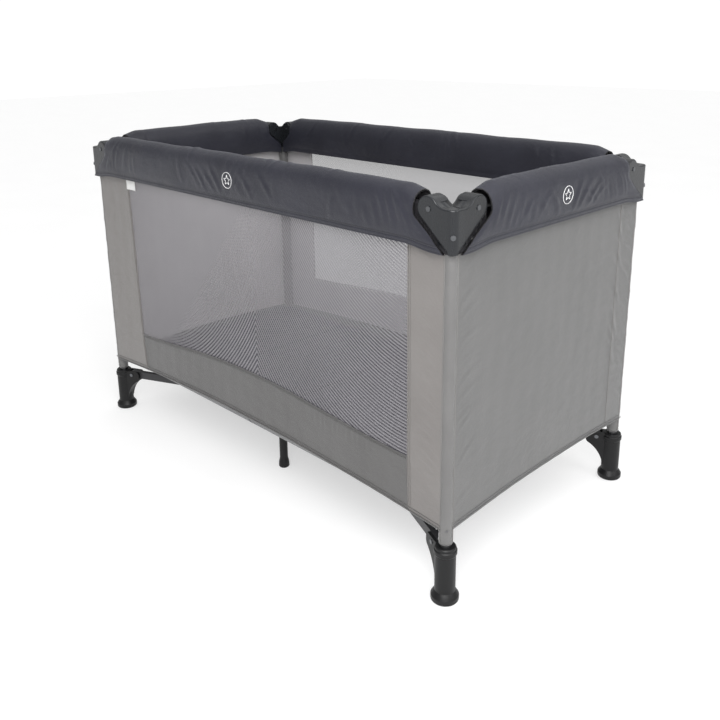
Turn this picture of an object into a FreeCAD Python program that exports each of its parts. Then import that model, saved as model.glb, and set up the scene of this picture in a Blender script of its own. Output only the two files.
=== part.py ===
import FreeCAD, Part
import math
import os

# Folding travel cot. Millimetres, +X along the long side, +Y to the back, +Z up.
# The origin is on the floor under the centre. Corner parts are modelled at the
# front left corner and mirrored to the other three.

V = FreeCAD.Vector
X_AXIS = V(1, 0, 0)
Y_AXIS = V(0, 1, 0)
Z_AXIS = V(0, 0, 1)

# ---- driving dimensions ----
LEG_X = 595.0            # leg axis, from the centre along X
LEG_Y = 308.0            # leg axis, from the centre along Y
RAIL_Z = 748.0           # top rail axis
STRUT_Z = 104.0          # base strut axis
PIVOT_X = 32.0           # long rail pivot, inward from the leg axis
PIVOT_Y = 42.0           # end rail pivot, inward from the leg axis
LOCK_HALF = 16.0         # rail pivots in a centre lock, from the lock's middle
FOOT_PIVOT = 34.0        # strut pivot, along the strut from the leg axis
ARM_PIVOT_Y = 62.0       # centre support arm pivot in the hub
ARM_FOOT_Y = 209.0       # centre foot axis, from the centre along Y

LEG_R = 11.0             # corner leg tube
RAIL_R = 9.5             # rail tube
TUBE_WALL = 1.2
PIN_R = 3.0
PIN_RUN = 0.05           # running clearance of a hinge pin
PIN_FIT = 0.02           # clearance of a pin in its fixed cheeks
LEG_FIT = 0.05           # clearance of the leg tube in its sockets
STRUT_T = 12.0           # strut thickness
STRUT_H = 20.0           # strut height
ARM_T = 12.0
ARM_H = 16.0
SLOT_GAP = 0.5           # side clearance of a bar in its slot

BRACKET_OUT = 22.0       # bracket outer faces, outward from the leg axis
BRACKET_PLATE = 12.0
LOBE_R = 22.0            # round end of a bracket lobe
LOBE_X = 58.0            # bracket reach along X from the leg axis
LOBE_Y = 68.0            # bracket reach along Y from the leg axis
LOBE_Z = 748.0           # centre of the lobe's round end
VALLEY_Z = 752.0         # bracket top at the corner
VALLEY_R = 30.0          # hollow between lobe and valley
TIP_Z = 676.0            # bracket bottom at the corner
TIP_U = -12.0
BRACKET_CORNER_R = 14.0
BRACKET_ROUND = 3.0      # rounding of the outer edges
INNER_PLATE = (10.0, 16.0)

FOOT_H = 116.0
FOOT_R = 20.0
FOOT_FLARE_R = 27.0
FOOT_LOBE_T = 26.0
FOOT_LOBE_REACH = 58.0

WALL_T = 1.5
WALL_X = 608.5           # inner face of the end walls
WALL_Y = 321.5           # inner face of the long walls
WALL_TOP_CORNER = 672.0
WALL_TOP_MID = 700.0
HEM_LONG = (152.0, 179.0)
HEM_END = (155.0, 166.0)

COVER_OUT = 29.0         # rail cover faces, from the rail axis
COVER_IN = 24.0
COVER_BOTTOM = 683.0
COVER_TOP = 782.0
COVER_SHOULDER = 758.0
COVER_GAP = 3.0

MAT_X = 584.0
MAT_Y = 300.0
MAT_Z = (149.0, 169.0)
MAT_CORNER_R = 40.0
PANELS = 4
PANEL_GAP = 0.6

# ---- worked out from the linkage ----
OFFSET_X = PIVOT_X + LOCK_HALF
OFFSET_Y = PIVOT_Y + LOCK_HALF
RUN_X = LEG_X - OFFSET_X
RUN_Y = LEG_Y - OFFSET_Y
STRUT_LEN = math.hypot(RUN_X, RUN_Y)
STRUT_DIR = V(RUN_X / STRUT_LEN, RUN_Y / STRUT_LEN, 0)
STRUT_ANGLE = math.degrees(math.atan2(RUN_Y, RUN_X))
STRUT_PIN = V(-STRUT_DIR.y, STRUT_DIR.x, 0)
LEG = V(-LEG_X, -LEG_Y, 0)
FOOT_PIN = V(-LEG_X, -LEG_Y, STRUT_Z) + STRUT_DIR * FOOT_PIVOT
HUB_PIN = FOOT_PIN + STRUT_DIR * STRUT_LEN

CORNERS = {
    "front_left": (False, False),
    "front_right": (True, False),
    "rear_left": (False, True),
    "rear_right": (True, True),
}


# ---- small helpers ----
def box(x0, x1, y0, y1, z0, z1):
    return Part.makeBox(x1 - x0, y1 - y0, z1 - z0, V(x0, y0, z0))


def rod(start, axis, radius, length):
    return Part.makeCylinder(radius, length, start, axis)


def centred_rod(centre, axis, radius, half):
    return rod(centre - axis * half, axis, radius, 2 * half)


def fuse(shapes):
    return shapes[0].multiFuse(shapes[1:]).removeSplitter()


def face_from(points):
    """Closed face through a list of points; a tuple of two points is an arc."""
    edges = []
    start = points[0]
    for item in points[1:]:
        if isinstance(item, tuple):
            edges.append(Part.Arc(start, item[0], item[1]).toShape())
            start = item[1]
        else:
            edges.append(Part.LineSegment(start, item).toShape())
            start = item
    if start.distanceToPoint(points[0]) > 1e-6:
        edges.append(Part.LineSegment(start, points[0]).toShape())
    return Part.Face(Part.Wire(edges))


def round_rect(half_x, half_y, radius, z0, z1):
    body = box(-half_x, half_x, -half_y, half_y, z0, z1)
    uprights = [e for e in body.Edges if abs(e.tangentAt(e.FirstParameter).z) > 0.9]
    return body.makeFillet(radius, uprights)


def to_corner(shape, corner):
    """Mirror a front left part to another corner."""
    flip_x, flip_y = CORNERS[corner]
    result = shape
    if flip_x:
        result = result.mirror(V(0, 0, 0), X_AXIS)
    if flip_y:
        result = result.mirror(V(0, 0, 0), Y_AXIS)
    return result


def along_strut(shape, origin):
    """Put a shape drawn along +X at the origin onto the strut's line."""
    placed = shape.copy()
    placed.rotate(V(0, 0, 0), Z_AXIS, STRUT_ANGLE)
    placed.translate(origin)
    return placed


def rivet(centre, axis, half, head_r=4.6, head_t=1.6):
    """Pin with a low head at each end, half long from its middle to a head."""
    shank = centred_rod(centre, axis, PIN_R, half + 0.4)
    heads = []
    for side in (1, -1):
        seat = centre + axis * (side * half)
        heads.append(rod(seat, axis * side, head_r, head_t))
    return fuse([shank] + heads)


# ---- corner leg ----
def leg_tube():
    outer = rod(LEG + V(0, 0, 12), Z_AXIS, LEG_R, 738)
    inner = rod(LEG + V(0, 0, 12), Z_AXIS, LEG_R - TUBE_WALL, 738)
    return outer.cut(inner)


def lobe_outline(reach, inset):
    """Bracket outline in the plane of a rail: u inward from the leg axis, z up.

    A straight side runs from the bottom tip to the round lobe, and a hollow arc
    runs from the lobe to the level valley at the corner.
    """
    cu = reach - LOBE_R
    r = LOBE_R - inset
    valley = VALLEY_Z - inset
    rise = valley - LOBE_Z
    hollow_r = VALLEY_R + inset
    valley_u = cu - math.sqrt((r + hollow_r) ** 2 - (hollow_r + rise) ** 2)
    tip = V(TIP_U + inset, 0, TIP_Z + inset)
    lobe = V(cu, 0, LOBE_Z)
    hollow = V(valley_u, 0, valley + hollow_r)

    to_lobe = lobe - tip
    reach_angle = math.atan2(to_lobe.z, to_lobe.x) - math.asin(r / to_lobe.Length)
    low = reach_angle - math.pi / 2
    high = math.atan2(hollow.z - lobe.z, hollow.x - lobe.x)

    def lobe_at(angle):
        return lobe + V(r * math.cos(angle), 0, r * math.sin(angle))

    hollow_start = high + math.pi
    hollow_end = 1.5 * math.pi
    half = (hollow_start + hollow_end) / 2
    hollow_mid = hollow + V(hollow_r * math.cos(half), 0, hollow_r * math.sin(half))
    left = -BRACKET_OUT - 4
    return face_from([
        tip,
        lobe_at(low),
        (lobe_at((low + high) / 2), lobe_at(high)),
        (hollow_mid, V(valley_u, 0, valley)),
        V(left, 0, valley),
        V(left, 0, TIP_Z + inset),
    ])


def lobe_prism(reach, inset, along_x, width0, width1):
    """Outline swept across a rail from width0 to width1, at the front left leg."""
    face = lobe_outline(reach, inset)
    solid = face.extrude(V(0, width1 - width0, 0))
    solid.translate(V(0, width0, 0))
    if not along_x:
        solid.rotate(V(0, 0, 0), Z_AXIS, 90)
        solid = solid.mirror(V(0, 0, 0), X_AXIS)
    solid.translate(LEG)
    return solid


def on_bracket_skin(point):
    """True where a point is on the bracket's outer faces or its round corner."""
    r = BRACKET_CORNER_R
    dx = point.x - (LEG.x - BRACKET_OUT + r)
    dy = point.y - (LEG.y - BRACKET_OUT + r)
    if dx < 0 and dy < 0:
        return abs(math.hypot(dx, dy) - r) < 1e-3
    return abs(dx + r) < 1e-3 or abs(dy + r) < 1e-3


def rounded_skin_edges(body):
    """Outer edges along the lobes' tops and ends, to be rounded."""
    chosen = []
    for edge in body.Edges:
        span = edge.LastParameter - edge.FirstParameter
        points = [edge.valueAt(edge.FirstParameter + span * t) for t in (0, 0.3, 0.6, 1)]
        upright = points[0].sub(points[-1]).cross(Z_AXIS).Length < 1e-6
        if all(on_bracket_skin(p) for p in points) and not upright and points[1].z > TIP_Z + 8:
            chosen.append(edge)
    return chosen


def bracket_outer():
    out = BRACKET_OUT
    plate = BRACKET_PLATE
    roof_to = INNER_PLATE[0] - 0.2
    blank = round_rect(150, 150, BRACKET_CORNER_R, TIP_Z - 5, LOBE_Z + 30)
    blank.translate(LEG + V(150 - out, 150 - out, 0))
    skins = []
    rims = []
    for reach, along_x in ((LOBE_X, True), (LOBE_Y, False)):
        skins.append(lobe_prism(reach, 0, along_x, -out, -out + plate).common(blank))
        rim = lobe_prism(reach, 0, along_x, -out + plate, roof_to)
        hollow = lobe_prism(reach, 4, along_x, -out + plate - 1, roof_to + 1)
        above = box(-70, 70, -70, 70, LOBE_Z + 12, LOBE_Z + 40)
        above.translate(LEG + V(50, 50, 0))
        rims.append(rim.cut(hollow).common(above))
    body = fuse(skins)
    body = body.makeFillet(BRACKET_ROUND, rounded_skin_edges(body))
    socket = box(-out + 4, 15, -out + 4, 15, 690, VALLEY_Z - 4)
    socket.translate(LEG)
    body = fuse([body, socket] + rims)
    body = body.cut(rod(LEG + V(0, 0, 600), Z_AXIS, LEG_R + LEG_FIT, 150.5))
    for centre, axis in rail_pivots():
        body = body.cut(centred_rod(centre, axis, PIN_R + PIN_FIT, 60))
    return body.cut(ridge_rivet(PIN_FIT))


def bracket_inner():
    near, far = INNER_PLATE
    plates = []
    keep = box(near, 200, near, 200, 690, LOBE_Z + 40)
    keep.translate(LEG)
    for reach, along_x in ((LOBE_X, True), (LOBE_Y, False)):
        plate = lobe_prism(reach, 3, along_x, near, far)
        plates.append(plate.common(keep))
    body = fuse(plates)
    body = body.cut(rod(LEG + V(0, 0, 600), Z_AXIS, LEG_R + LEG_FIT, 160))
    socket = box(-60, 15.2, -60, 15.2, 600, VALLEY_Z - 3.8)
    socket.translate(LEG)
    body = body.cut(socket)
    for centre, axis in rail_pivots():
        body = body.cut(centred_rod(centre, axis, PIN_R + PIN_FIT, 60))
    return body


def rail_pivots():
    """Centre and axis of the two rail pivots in the front left bracket."""
    long_pivot = LEG + V(PIVOT_X, 0, RAIL_Z)
    end_pivot = LEG + V(0, PIVOT_Y, RAIL_Z)
    return ((long_pivot, Y_AXIS), (end_pivot, X_AXIS))


def ridge_rivet(clearance=0.0):
    """Rivet on the corner ridge that fixes the bracket to the leg tube."""
    inward = V(1, 1, 0)
    inward.normalize()
    seat = LEG + V(0, 0, 706) - inward * 25.2
    shank = rod(seat, inward, 2.5 + clearance, 13.8)
    head = rod(seat - inward * 1.6, inward, 4.6 + clearance, 2.2)
    return fuse([shank, head])


def leg_rivets():
    middle = (INNER_PLATE[1] - BRACKET_OUT) / 2
    half = (INNER_PLATE[1] + BRACKET_OUT) / 2
    solids = []
    for centre, axis in rail_pivots():
        solids.append(rivet(centre + axis * middle, axis, half))
    solids.append(ridge_rivet())
    solids.append(rivet(FOOT_PIN, STRUT_PIN, FOOT_LOBE_T / 2))
    return Part.makeCompound(solids)


def foot():
    flare = FOOT_FLARE_R
    column = [
        V(0, 0, 0),
        V(flare - 5, 0, 0),
        (V(flare - 1.5, 0, 1.5), V(flare, 0, 5)),
        V(flare, 0, 12),
        (V(flare - 2.5, 0, 16), V(FOOT_R, 0, 22)),
        V(FOOT_R, 0, 98),
        V(FOOT_R + 2, 0, 101),
        V(FOOT_R + 2, 0, 108),
        V(FOOT_R, 0, 110),
        V(FOOT_R, 0, FOOT_H - 2),
        V(FOOT_R - 2, 0, FOOT_H),
        V(0, 0, FOOT_H),
    ]
    post = face_from(column).revolve(V(0, 0, 0), Z_AXIS, 360)
    post = Part.makeSolid(post) if post.ShapeType == "Shell" else post
    reach = FOOT_LOBE_REACH
    web = [
        V(0, 0, FOOT_H - 2),
        V(0, 0, 34),
        V(17, 0, 34),
        (V(30, 0, 66), V(reach - 3, 0, 88)),
        (V(reach, 0, 94), V(reach, 0, 100)),
        V(reach, 0, FOOT_H - 10),
        (V(reach - 3, 0, FOOT_H - 4), V(reach - 10, 0, FOOT_H - 2)),
    ]
    lobe = face_from(web).extrude(V(0, FOOT_LOBE_T, 0))
    lobe.translate(V(0, -FOOT_LOBE_T / 2, 0))
    slot_half = STRUT_T / 2 + SLOT_GAP
    slot = box(FOOT_PIVOT - 12, reach + 5, -slot_half, slot_half, STRUT_Z - 12, FOOT_H + 5)
    body = fuse([post, lobe]).cut(slot)
    body = body.cut(rod(V(0, 0, 12), Z_AXIS, LEG_R + LEG_FIT, FOOT_H))
    pin = centred_rod(V(FOOT_PIVOT, 0, STRUT_Z), Y_AXIS, PIN_R + PIN_FIT, 40)
    return along_strut(body.cut(pin), LEG)


# ---- base: struts, hub, centre supports ----
def flat_bar(length, thickness, height):
    """Hollow bar along +X between two pins, with round ends."""
    half_t = thickness / 2
    half_h = height / 2
    wall = TUBE_WALL

    def block(t, h):
        bar = box(0, length, -t, t, -h, h)
        ends = [centred_rod(V(x, 0, 0), Y_AXIS, h, t) for x in (0, length)]
        return fuse([bar] + ends)

    body = block(half_t, half_h).cut(block(half_t - wall, half_h - wall))
    for x in (0, length):
        body = body.cut(centred_rod(V(x, 0, 0), Y_AXIS, PIN_R + PIN_RUN, 40))
    return body


def strut():
    return along_strut(flat_bar(STRUT_LEN, STRUT_T, STRUT_H), FOOT_PIN)


def centre_arm():
    bar = flat_bar(ARM_FOOT_Y - ARM_PIVOT_Y, ARM_T, ARM_H)
    bar.rotate(V(0, 0, 0), Z_AXIS, -90)
    bar.translate(V(0, -ARM_PIVOT_Y, STRUT_Z))
    return bar


def hub_pins(clearance=0.0):
    pins = []
    for corner in CORNERS:
        pin = centred_rod(HUB_PIN, STRUT_PIN, PIN_R + clearance, 11.5)
        pins.append(to_corner(pin, corner))
    for side in (1, -1):
        centre = V(0, side * ARM_PIVOT_Y, STRUT_Z)
        pins.append(centred_rod(centre, X_AXIS, PIN_R + clearance, 10.5))
    return Part.makeCompound(pins)


def hub():
    base = STRUT_Z - 12
    deck = STRUT_Z + 24
    plan = round_rect(42, 50, 14, base, deck)
    lug = round_rect(16, ARM_PIVOT_Y + 9, 6, base, deck)
    dome = Part.makeCone(36, 30, 10, V(0, 0, deck), Z_AXIS)
    body = fuse([plan, lug, dome])
    half = STRUT_T / 2 + SLOT_GAP
    slot = box(-12, 120, -half, half, base - 10, STRUT_Z + STRUT_H / 2 + 1.5)
    slot.rotate(V(0, 0, 0), Z_AXIS, 180)
    slot = along_strut(slot, V(HUB_PIN.x, HUB_PIN.y, 0))
    for corner in CORNERS:
        body = body.cut(to_corner(slot, corner))
    half = ARM_T / 2 + SLOT_GAP
    arm_slot = box(-half, half, -150, -ARM_PIVOT_Y + 10, base - 10, STRUT_Z + ARM_H / 2 + 1.5)
    body = body.cut(arm_slot).cut(arm_slot.mirror(V(0, 0, 0), Y_AXIS))
    strap_slot = box(-14, 14, -2.5, 2.5, base - 1, deck + 20)
    return body.cut(strap_slot).cut(hub_pins(PIN_FIT))


def pull_strap():
    """Webbing loop, folded flat on the hub, whose tail goes down through it."""
    top = STRUT_Z + 34.5
    loop = box(-12.5, 12.5, -1.25, 78, top, top + 3)
    tail = box(-12.5, 12.5, -1.25, 1.25, STRUT_Z - 13, top + 1)
    stop = box(-12.5, 12.5, -5, 5, STRUT_Z - 15, STRUT_Z - 12.3)
    return fuse([loop, tail, stop])


def centre_foot():
    profile = [
        V(0, 0, 0),
        V(9, 0, 0),
        (V(12, 0, 1.5), V(13, 0, 5)),
        V(12.6, 0, 14),
        V(10, 0, 26),
        V(10, 0, 92),
        V(0, 0, 92),
    ]
    post = face_from(profile).revolve(V(0, 0, 0), Z_AXIS, 360)
    post = Part.makeSolid(post) if post.ShapeType == "Shell" else post
    fork = box(-10, 10, -10, 10, 84, STRUT_Z)
    fork = fuse([fork, centred_rod(V(0, 0, STRUT_Z), X_AXIS, 10, 10)])
    half = ARM_T / 2 + SLOT_GAP
    slot = box(-half, half, -9, 20, STRUT_Z - 9.5, STRUT_Z + 20)
    body = fuse([post, fork]).cut(slot)
    body = fuse([body, centred_rod(V(0, 0, STRUT_Z), X_AXIS, PIN_R, 11)])
    body.translate(V(0, -ARM_FOOT_Y, 0))
    return body


# ---- top rails ----
def half_rail(length):
    """Round tube along +X between two pivots, with round eyes at its ends."""
    r = RAIL_R
    tube = rod(V(-r, 0, 0), X_AXIS, r, length + 2 * r)
    bore = rod(V(-r, 0, 0), X_AXIS, r - TUBE_WALL, length + 2 * r)
    keep = box(0, length, -20, 20, -20, 20)
    eyes = [centred_rod(V(x, 0, 0), Y_AXIS, r, 20) for x in (0, length)]
    body = tube.cut(bore).common(fuse([keep] + eyes))
    for x in (0, length):
        body = body.cut(centred_rod(V(x, 0, 0), Y_AXIS, PIN_R + PIN_RUN, 40))
    return body


def long_rail():
    rail = half_rail(RUN_X)
    rail.translate(LEG + V(PIVOT_X, 0, RAIL_Z))
    return rail


def end_rail():
    rail = half_rail(RUN_Y)
    rail.rotate(V(0, 0, 0), Z_AXIS, 90)
    rail.translate(LEG + V(0, PIVOT_Y, RAIL_Z))
    return rail


def lock_housing():
    """Channel that joins two half rails, open above, with its two pivot rivets."""
    outside = round_rect(30, 13, 3, -13.5, 12)
    inside = box(-40, 40, -10, 10, -10.5, 20)
    window = box(-5.4, 5.4, -8.4, 8.4, -20, -10)
    pins = [centred_rod(V(x, 0, 0), Y_AXIS, PIN_R, 13.6) for x in (-LOCK_HALF, LOCK_HALF)]
    return fuse([outside.cut(inside).cut(window)] + pins)


def lock_button():
    stem = box(-5, 5, -8, 8, -19, 3)
    pad = round_rect(5, 9, 2, -21.5, -18)
    return fuse([stem, pad])


def at_side(shape, side):
    """Put a centre lock part on its side; it is drawn along X at the origin."""
    placed = shape.copy()
    if side in ("left", "right"):
        placed.rotate(V(0, 0, 0), Z_AXIS, 90)
    shift = {
        "front": V(0, -LEG_Y, RAIL_Z),
        "rear": V(0, LEG_Y, RAIL_Z),
        "left": V(-LEG_X, 0, RAIL_Z),
        "right": V(LEG_X, 0, RAIL_Z),
    }
    placed.translate(shift[side])
    return placed


# ---- soft parts, as plain closed solids ----
def wall(half_length, hem, corner_cut):
    """Wall cloth in the XZ plane, outer face at y = 0, arched along its hem."""
    low, high = hem
    cut = half_length - corner_cut
    points = [
        V(-half_length, 0, low),
        (V(0, 0, high), V(half_length, 0, low)),
        V(half_length, 0, WALL_TOP_CORNER),
        V(cut, 0, WALL_TOP_CORNER),
        V(cut, 0, WALL_TOP_MID),
        V(-cut, 0, WALL_TOP_MID),
        V(-cut, 0, WALL_TOP_CORNER),
        V(-half_length, 0, WALL_TOP_CORNER),
    ]
    return face_from(points).extrude(V(0, WALL_T, 0))


def walls():
    long_wall = wall(LEG_X + LEG_R, HEM_LONG, 76)
    long_wall.translate(V(0, -WALL_Y - WALL_T, 0))
    end_wall = wall(WALL_Y - 0.5, HEM_END, 86)
    end_wall.rotate(V(0, 0, 0), Z_AXIS, -90)
    end_wall.translate(V(-WALL_X - WALL_T, 0, 0))
    return {
        "wall_front": long_wall,
        "wall_rear": long_wall.mirror(V(0, 0, 0), Y_AXIS),
        "wall_left": end_wall,
        "wall_right": end_wall.mirror(V(0, 0, 0), X_AXIS),
    }


def cover(half_length):
    """Padded rail cover along X: an upturned channel, outer side at -Y."""
    outer = [
        V(0, -COVER_OUT, COVER_BOTTOM),
        V(0, -COVER_OUT, COVER_SHOULDER),
        (V(0, -COVER_OUT * 0.6, COVER_TOP - 6), V(0, 0, COVER_TOP)),
        (V(0, COVER_IN * 0.6, COVER_TOP - 6), V(0, COVER_IN, COVER_SHOULDER)),
        V(0, COVER_IN, COVER_BOTTOM),
    ]
    bar = face_from(outer).extrude(V(2 * half_length, 0, 0))
    hollow = box(-1, 2 * half_length + 1, -18, 15, COVER_BOTTOM - 1, LOBE_Z + 17)
    body = bar.cut(hollow)
    body.translate(V(-half_length, 0, 0))
    return body


def covers():
    long_cover = cover(LEG_X - LOBE_X - COVER_GAP)
    long_cover.translate(V(0, -LEG_Y, 0))
    end_cover = cover(LEG_Y - LOBE_Y - COVER_GAP)
    end_cover.rotate(V(0, 0, 0), Z_AXIS, -90)
    end_cover.translate(V(-LEG_X, 0, 0))
    return {
        "cover_front": long_cover,
        "cover_rear": long_cover.mirror(V(0, 0, 0), Y_AXIS),
        "cover_left": end_cover,
        "cover_right": end_cover.mirror(V(0, 0, 0), X_AXIS),
    }


def floor_cloth():
    sheet = box(-WALL_X + 0.5, WALL_X - 0.5, -WALL_Y + 0.5, WALL_Y - 0.5, 145.5, 147.0)
    hole = rod(V(-LEG_X, -LEG_Y, 100), Z_AXIS, LEG_R + 1.5, 100)
    for corner in CORNERS:
        sheet = sheet.cut(to_corner(hole, corner))
        notch = box(-WALL_X, -LEG_X, -WALL_Y, -LEG_Y, 100, 200)
        sheet = sheet.cut(to_corner(notch, corner))
    return sheet


def mattress_panel(index):
    width = 2 * MAT_X / PANELS
    left = -MAT_X + index * width + PANEL_GAP / 2
    pad = round_rect(MAT_X, MAT_Y, MAT_CORNER_R, MAT_Z[0], MAT_Z[1])
    return pad.common(box(left, left + width - PANEL_GAP, -MAT_Y, MAT_Y, MAT_Z[0], MAT_Z[1]))


# ---- all nodes ----
def build():
    nodes = {}
    for corner in CORNERS:
        nodes["leg_tube_" + corner] = to_corner(leg_tube(), corner)
        nodes["bracket_outer_" + corner] = to_corner(bracket_outer(), corner)
        nodes["bracket_inner_" + corner] = to_corner(bracket_inner(), corner)
        nodes["leg_rivets_" + corner] = to_corner(leg_rivets(), corner)
        nodes["foot_" + corner] = to_corner(foot(), corner)
        nodes["strut_" + corner] = to_corner(strut(), corner)
        nodes["long_rail_" + corner] = to_corner(long_rail(), corner)
        nodes["end_rail_" + corner] = to_corner(end_rail(), corner)
    for side in ("front", "rear", "left", "right"):
        nodes["lock_" + side] = at_side(lock_housing(), side)
        nodes["lock_button_" + side] = at_side(lock_button(), side)
    nodes["hub"] = hub()
    nodes["hub_pins"] = hub_pins()
    nodes["pull_strap"] = pull_strap()
    for side, flip in (("front", False), ("rear", True)):
        for name, shape in (("centre_arm_", centre_arm()), ("centre_foot_", centre_foot())):
            nodes[name + side] = shape.mirror(V(0, 0, 0), Y_AXIS) if flip else shape
    nodes.update(walls())
    nodes.update(covers())
    nodes["floor_cloth"] = floor_cloth()
    for index in range(PANELS):
        nodes["mattress_panel_%d" % (index + 1)] = mattress_panel(index)
    return nodes


os.makedirs("parts", exist_ok=True)
for name, shape in build().items():
    bad = not shape.isValid() or shape.Volume < 1
    print("%-28s solids %d volume %.0f%s" % (name, len(shape.Solids), shape.Volume, " BAD" if bad else ""))
    shape.exportStep("parts/%s.step" % name)
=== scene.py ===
import math

import bmesh
import bpy
import numpy as np
from mathutils import Matrix, Vector


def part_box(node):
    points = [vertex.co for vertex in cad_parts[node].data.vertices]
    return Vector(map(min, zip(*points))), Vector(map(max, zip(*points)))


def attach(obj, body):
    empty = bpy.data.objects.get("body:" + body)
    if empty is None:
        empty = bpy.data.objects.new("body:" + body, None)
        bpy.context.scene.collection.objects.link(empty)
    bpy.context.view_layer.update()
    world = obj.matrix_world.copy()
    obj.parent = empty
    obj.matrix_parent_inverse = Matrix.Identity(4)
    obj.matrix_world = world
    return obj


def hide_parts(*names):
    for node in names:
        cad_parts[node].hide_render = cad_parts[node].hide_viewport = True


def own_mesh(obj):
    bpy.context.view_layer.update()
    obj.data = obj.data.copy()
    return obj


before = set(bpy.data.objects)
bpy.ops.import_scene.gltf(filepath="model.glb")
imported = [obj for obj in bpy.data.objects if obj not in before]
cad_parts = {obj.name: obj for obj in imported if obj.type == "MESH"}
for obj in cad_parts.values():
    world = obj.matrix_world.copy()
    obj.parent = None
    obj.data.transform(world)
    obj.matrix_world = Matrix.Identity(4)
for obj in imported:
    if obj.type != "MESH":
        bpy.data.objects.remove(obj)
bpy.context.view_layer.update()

MM = 0.001
SCENE = bpy.context.scene

# -------- places from the frame, in mm
CORNERS = ("front_left", "front_right", "rear_left", "rear_right")
SIDES = ("front", "rear", "left", "right")


def cad_box(node):
    low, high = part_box(node)
    return np.array(low) / MM, np.array(high) / MM


def cad_centre(node):
    low, high = cad_box(node)
    return (low + high) / 2


def post(corner):
    """Middle of a leg's tube, and the signs of the ways out of the cot."""
    centre = cad_centre("leg_tube_" + corner)
    return centre, np.sign(centre[0]), np.sign(centre[1])


LEG_X = cad_centre("leg_tube_front_right")[0]
LEG_Y = cad_centre("leg_tube_rear_left")[1]
RAIL_Z = cad_centre("long_rail_front_left")[2]
WALL_OUT_Y = cad_box("wall_rear")[1][1]
WALL_OUT_X = cad_box("wall_right")[1][0]
FLOOR_Z = cad_box("floor_cloth")[0][2]

HALF = {"front": LEG_X, "rear": LEG_X, "left": LEG_Y, "right": LEG_Y}
OUT = {"front": LEG_Y, "rear": LEG_Y, "left": LEG_X, "right": LEG_X}
WALL_PLANE = {"front": WALL_OUT_Y, "rear": WALL_OUT_Y, "left": WALL_OUT_X, "right": WALL_OUT_X}
LEFT_LEG = {"front": "front_left", "right": "front_right", "rear": "rear_right", "left": "rear_left"}
RIGHT_LEG = {"front": "front_right", "right": "rear_right", "rear": "rear_left", "left": "front_left"}


def place(side, s, d, z):
    """Point of a side: s along it to the right as seen from outside, d outward from the middle."""
    s, d, z = np.broadcast_arrays(np.asarray(s, float), np.asarray(d, float), np.asarray(z, float))
    turned = {"front": (s, -d), "rear": (-s, d), "right": (d, s), "left": (-d, -s)}[side]
    return np.stack([turned[0], turned[1], z], -1)


def smooth(x, a, b):
    t = np.clip((np.asarray(x, float) - a) / (b - a), 0, 1)
    return t * t * (3 - 2 * t)


# -------- camera and light
CAMERA_PLACE = (1.4088, -1.3179, 1.0208)
CAMERA_TURN = (-45.589, -15.523, -0.689)
CAMERA_LENS, CAMERA_SHIFT = 40.115, -0.1379
SKY_SEEN, SKY_LIGHT = 1.07, 0.40
KEY_POWER, SIDE_POWER, OVERHEAD_POWER = 34.0, 26.0, 1.6
FLOOR_GLOW, FLOOR_REACH = 0.52, 14


def make_camera():
    data = bpy.data.cameras.new("Camera")
    camera = bpy.data.objects.new("Camera", data)
    SCENE.collection.objects.link(camera)
    SCENE.camera = camera
    azimuth, elevation, roll = (math.radians(a) for a in CAMERA_TURN)
    ahead = Vector((math.sin(azimuth) * math.cos(elevation), math.cos(azimuth) * math.cos(elevation),
                    math.sin(elevation)))
    right = ahead.cross(Vector((0, 0, 1))).normalized()
    up = right.cross(ahead)
    right_rolled = right * math.cos(roll) + up * math.sin(roll)
    up_rolled = up * math.cos(roll) - right * math.sin(roll)
    turn = Matrix((right_rolled, up_rolled, -ahead)).transposed()
    camera.matrix_world = Matrix.Translation(CAMERA_PLACE) @ turn.to_4x4()
    data.sensor_width = 36.0
    data.lens = CAMERA_LENS
    data.shift_y = CAMERA_SHIFT
    data.clip_start = 0.05
    data.clip_end = 60.0


def area_light(name, location, target, size, power):
    data = bpy.data.lights.new(name, "AREA")
    data.shape = "RECTANGLE"
    data.size, data.size_y = size
    data.energy = power
    lamp = bpy.data.objects.new(name, data)
    SCENE.collection.objects.link(lamp)
    lamp.location = location
    aim = Vector(target) - Vector(location)
    lamp.rotation_euler = aim.to_track_quat("-Z", "Y").to_euler()


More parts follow.
